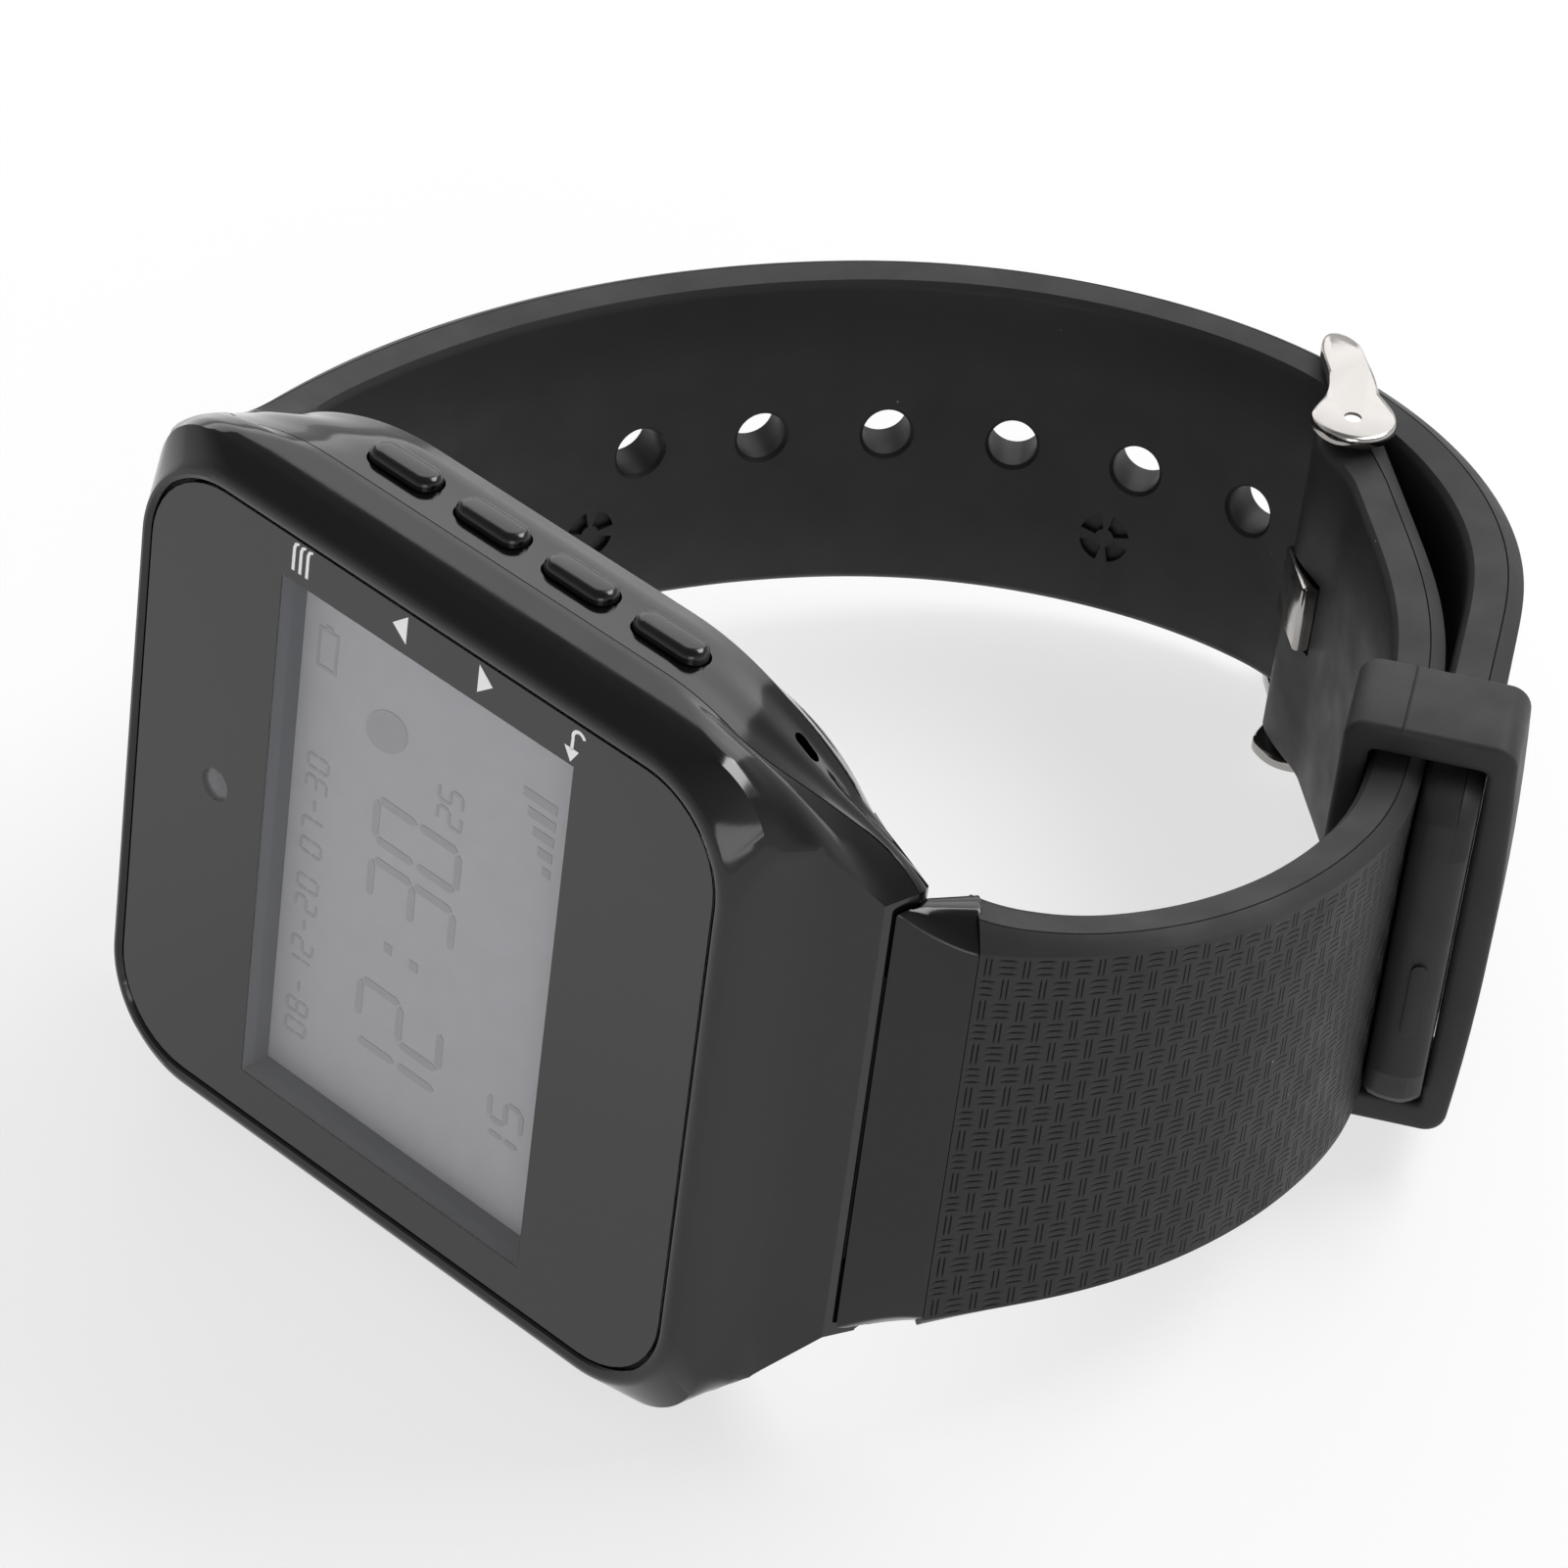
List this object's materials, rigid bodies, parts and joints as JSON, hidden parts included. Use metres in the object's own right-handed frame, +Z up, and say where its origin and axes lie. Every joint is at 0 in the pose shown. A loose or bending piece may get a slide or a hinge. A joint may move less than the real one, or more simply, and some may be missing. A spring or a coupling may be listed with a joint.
{
  "type": "wrist pager",
  "caption": "Wrist-worn pager: square black case with a grey display, side push buttons and a rubber strap closed by a tang buckle and a loose keeper.",
  "frame": {"origin": "on the table under the middle of the closed watch's bounding box", "axes": "+Z up from the table, close to the strap loop's own axis, which leans by the angle at which the watch rests on its 9 o'clock edge and its buckle; +X from the 12 o'clock lug to the 6 o'clock lug; +Y from the display towards the wrist and the buckle"},
  "size_m": [0.0658, 0.0734, 0.0424],
  "materials": {
    "case_black": "polished injection-moulded plastic",
    "cover_glass": "tinted cover glass",
    "adhesive": "double-sided foam tape",
    "print_black": "black screen print",
    "print_white": "white screen print",
    "lcd": "reflective display glass",
    "light_guide": "clear acrylic light guide",
    "holder": "white moulded frame",
    "flex": "polyimide flat cable",
    "led": "phosphor cap",
    "light_pipe": "smoked light pipe",
    "board": "solder mask",
    "plated_steel": "nickel-plated",
    "copper": "bare copper strip",
    "pouch": "foil pouch",
    "buzzer_black": "moulded housing",
    "gasket": "silicone cord",
    "gold": "gold-plated",
    "button_black": "satin-gloss moulded cap",
    "strap_rubber": "moulded silicone with a woven pattern outside",
    "keeper_rubber": "moulded silicone",
    "buckle_steel": "polished stainless steel"
  },
  "bodies": {
    "watch_body": {"front_case": "case_black", "rear_case": "case_black", "cover_glass": "cover_glass", "glass_adhesive": "adhesive", "printed_film": "print_black", "key_symbols": "print_white", "lcd_cell": "lcd", "lcd_backlight": "light_guide", "lcd_holder": "holder", "lcd_flex": "flex", "status_led": "led", "led_light_pipe": "light_pipe", "main_board": "board", "tact_switches": "plated_steel", "radio_shield": "plated_steel", "antenna": "copper", "battery": "pouch", "vibration_motor": "plated_steel", "buzzer": "buzzer_black", "case_gasket": "gasket", "case_screws": "plated_steel", "charge_contacts": "gold", "strap_link_12": "case_black", "strap_link_6": "case_black", "lug_pin_12": "plated_steel", "lug_pin_6": "plated_steel", "strap_long": "strap_rubber", "strap_short": "strap_rubber", "buckle_bar": "plated_steel"},
    "button_menu": {"button_menu": "button_black"},
    "button_up": {"button_up": "button_black"},
    "button_down": {"button_down": "button_black"},
    "button_back": {"button_back": "button_black"},
    "keeper": {"keeper": "keeper_rubber"},
    "buckle_frame": {"buckle_frame": "buckle_steel"},
    "buckle_prong": {"buckle_prong": "buckle_steel"}
  },
  "joints": [
    {"name": "button_menu_press", "type": "slide", "parent": "watch_body", "child": "button_menu", "axis": [0, -0.153, -0.9882], "range_m": [0, 0.0004], "stiffness_N_per_m": 800, "springref_m": -0.0005},
    {"name": "button_up_press", "type": "slide", "parent": "watch_body", "child": "button_up", "axis": [0, -0.153, -0.9882], "range_m": [0, 0.0004], "stiffness_N_per_m": 800, "springref_m": -0.0005},
    {"name": "button_down_press", "type": "slide", "parent": "watch_body", "child": "button_down", "axis": [0, -0.153, -0.9882], "range_m": [0, 0.0004], "stiffness_N_per_m": 800, "springref_m": -0.0005},
    {"name": "button_back_press", "type": "slide", "parent": "watch_body", "child": "button_back", "axis": [0, -0.153, -0.9882], "range_m": [0, 0.0004], "stiffness_N_per_m": 800, "springref_m": -0.0005},
    {"name": "keeper_slide", "type": "slide", "parent": "watch_body", "child": "keeper", "axis": [-0.5299, 0.8381, -0.1297], "range_m": [-0.0015, 0.001]},
    {"name": "buckle_frame_swing", "type": "hinge", "parent": "watch_body", "child": "buckle_frame", "pos_m": [0.00562, 0.02824, 0.0124], "axis": [0, -0.153, -0.9882], "range_deg": [0, 6]},
    {"name": "buckle_prong_lift", "type": "hinge", "parent": "buckle_frame", "child": "buckle_prong", "pos_m": [0.00562, 0.02824, 0.0124], "axis": [0, -0.153, -0.9882], "range_deg": [0, 4]}
  ]
}
